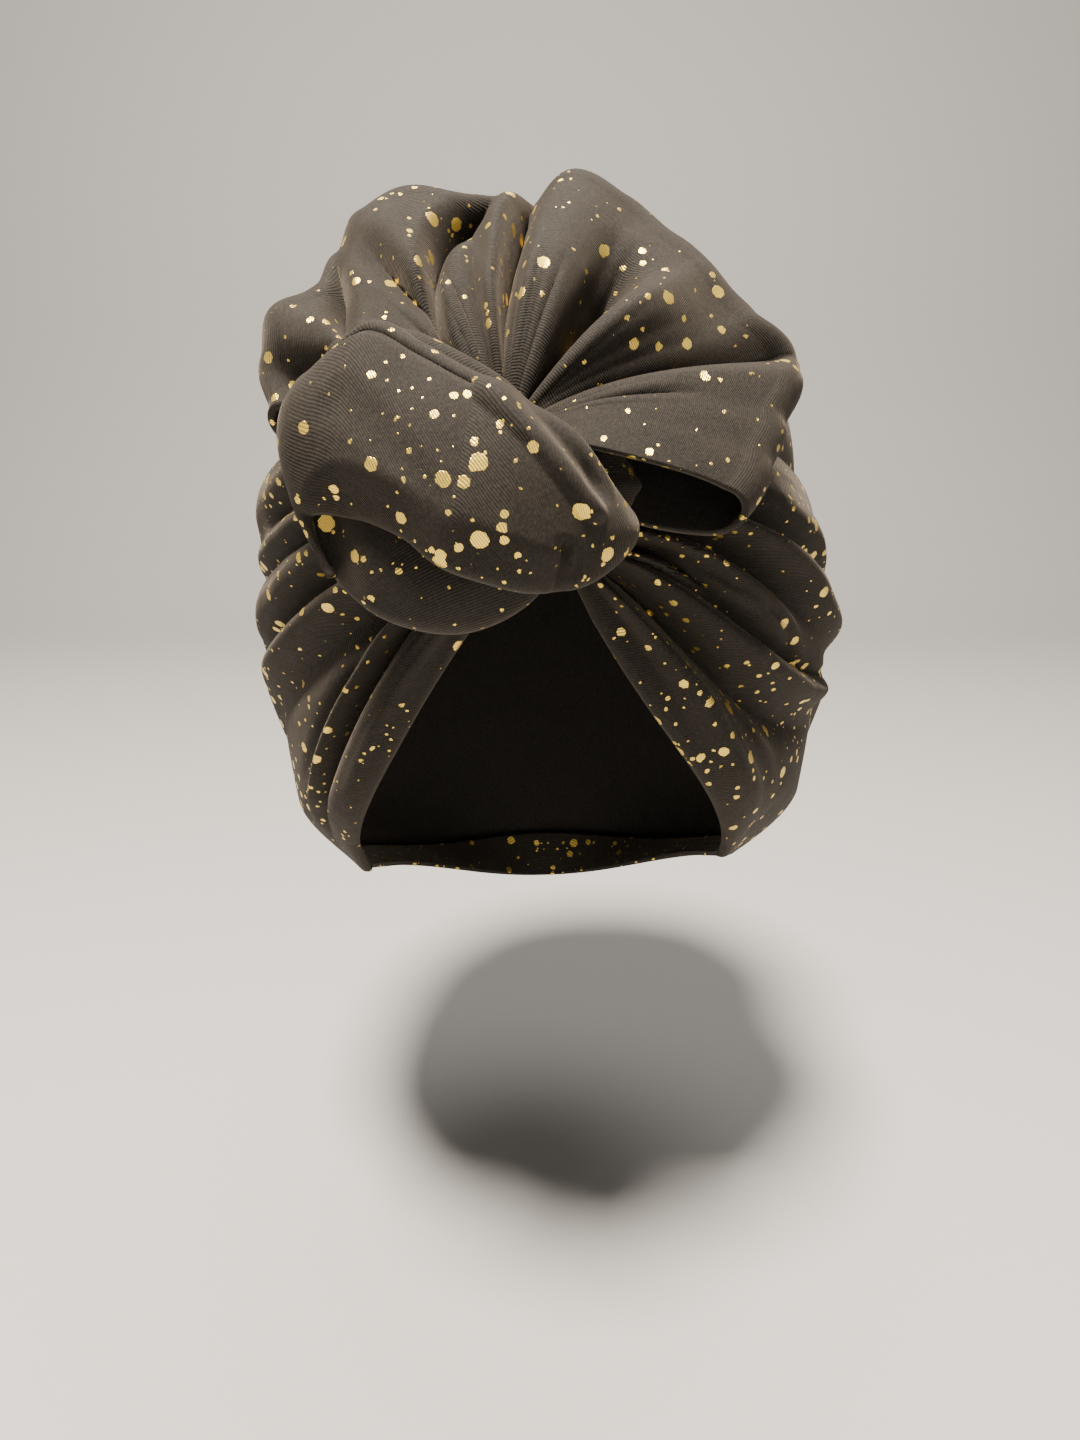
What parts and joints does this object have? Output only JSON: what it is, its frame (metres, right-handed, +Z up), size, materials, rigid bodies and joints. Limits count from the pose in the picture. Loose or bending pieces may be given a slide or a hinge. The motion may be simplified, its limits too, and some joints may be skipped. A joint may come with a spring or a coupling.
{
  "type": "turban headwrap",
  "caption": "Knotted turban headwrap of gathered stretch cloth, open over the face, with a pleated ruffle and a folded loop above the forehead.",
  "frame": {"origin": "inside the top of the crown, where the wrap sits on the top of the head", "axes": "+Z up, -Y towards the front with the knot, +X to the right as seen from the front"},
  "size_m": [0.1712, 0.2217, 0.2349],
  "materials": {
    "printed_knit": "black rib knit with splattered gold foil dots",
    "hem_knit": "black rib knit, turned up, with gold foil dots",
    "knot_knit": "black rib knit, gathered",
    "ruffle_knit": "black rib knit with splattered gold foil dots",
    "loop_knit": "black rib knit with splattered gold foil dots"
  },
  "bodies": {
    "root": {"crown": "printed_knit", "turned_hem": "hem_knit", "knot_core": "knot_knit", "fan_ruffle": "ruffle_knit", "front_loop": "loop_knit"}
  },
  "joints": []
}
